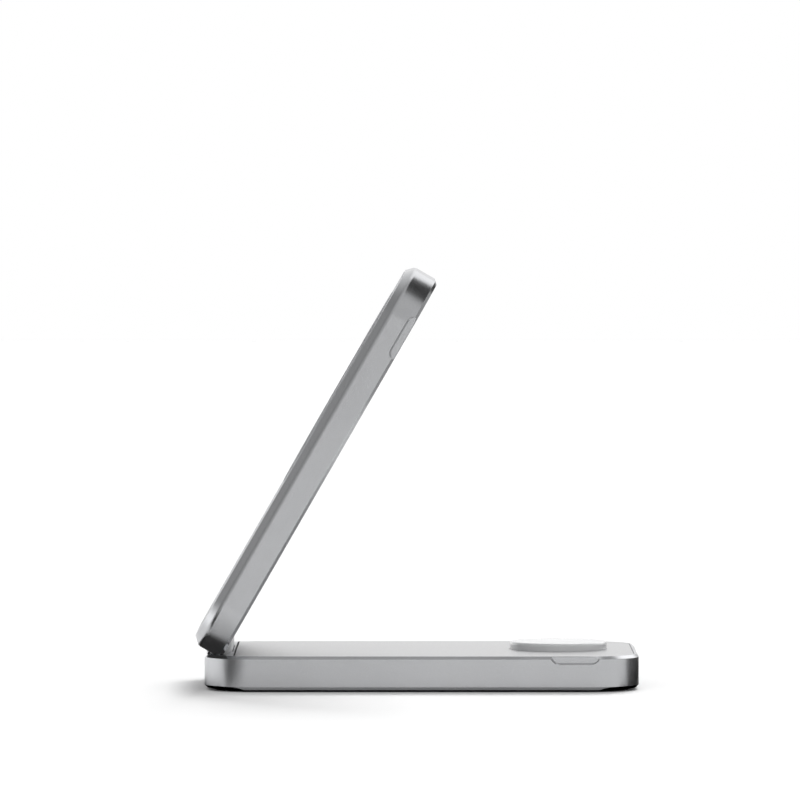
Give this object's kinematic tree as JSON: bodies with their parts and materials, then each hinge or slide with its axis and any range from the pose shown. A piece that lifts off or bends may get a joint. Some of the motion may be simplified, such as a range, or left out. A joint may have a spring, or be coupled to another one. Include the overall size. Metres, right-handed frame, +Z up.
{
  "type": "magnetic power bank",
  "caption": "Folding magnetic power bank and charging stand: a flat base with an earbud deck and a watch puck, and a hinged magnetic phone panel leaning over it.",
  "frame": {"origin": "middle of the base's footprint on the table, on the bottom face of the foot pad", "axes": "+Z up, +X along the base from the hinge towards the watch puck, +Y across towards the wall with the power button"},
  "size_m": [0.1123, 0.0663, 0.1063],
  "materials": {
    "frame_aluminium": "bead-blasted and clear anodised, with polished chamfers",
    "silver_plate": "fine satin silver paint on a moulded plate",
    "face_plate": "soft-touch silver grey",
    "soft_silicone": "matte light grey silicone",
    "foot_silicone": "matte dark silicone",
    "puck_plastic": "smooth moulded white",
    "knuckle_steel": "machined and blasted, light grey",
    "steel": "turned steel",
    "spring_steel": "rolled spring steel",
    "copper_wire": "wound copper wire",
    "ferrite": "dark pressed ferrite sheet",
    "magnet": "nickel-plated magnet",
    "cell_foil": "laminated foil pouch",
    "circuit_board": "solder-masked board",
    "socket_steel": "drawn steel shell",
    "switch_plastic": "moulded black",
    "light_plastic": "clear moulded light pipe"
  },
  "bodies": {
    "base": {"base_frame": "frame_aluminium", "base_deck": "silver_plate", "foot_pad": "foot_silicone", "watch_puck": "puck_plastic", "watch_coil": "copper_wire", "watch_magnet": "magnet", "watch_ferrite": "ferrite", "earbud_coil": "copper_wire", "earbud_ferrite": "ferrite", "base_battery": "cell_foil", "base_board": "circuit_board", "board_screws": "steel", "charge_socket": "socket_steel", "power_switch": "switch_plastic", "light_pipe": "light_plastic", "hinge_block": "knuckle_steel", "hinge_screws": "steel", "friction_clips": "spring_steel", "hinge_washers": "switch_plastic"},
    "panel": {"panel_frame": "frame_aluminium", "phone_face": "face_plate", "soft_ring": "soft_silicone", "inner_cover": "silver_plate", "magnet_ring": "magnet", "alignment_magnet": "magnet", "phone_coil": "copper_wire", "phone_ferrite": "ferrite", "panel_battery": "cell_foil", "panel_board": "circuit_board", "hinge_pin": "steel", "pin_keepers": "steel", "keeper_screws": "steel"},
    "button": {"power_button": "frame_aluminium"}
  },
  "joints": [
    {"name": "fold", "type": "hinge", "parent": "base", "child": "panel", "pos_m": [-0.0516, 0, 0.01215], "axis": [0, 1, 0], "range_deg": [0, 60]},
    {"name": "power_press", "type": "slide", "parent": "base", "child": "button", "axis": [0, -1, 0], "range_m": [0, 0.0004], "stiffness_N_per_m": 3000}
  ]
}
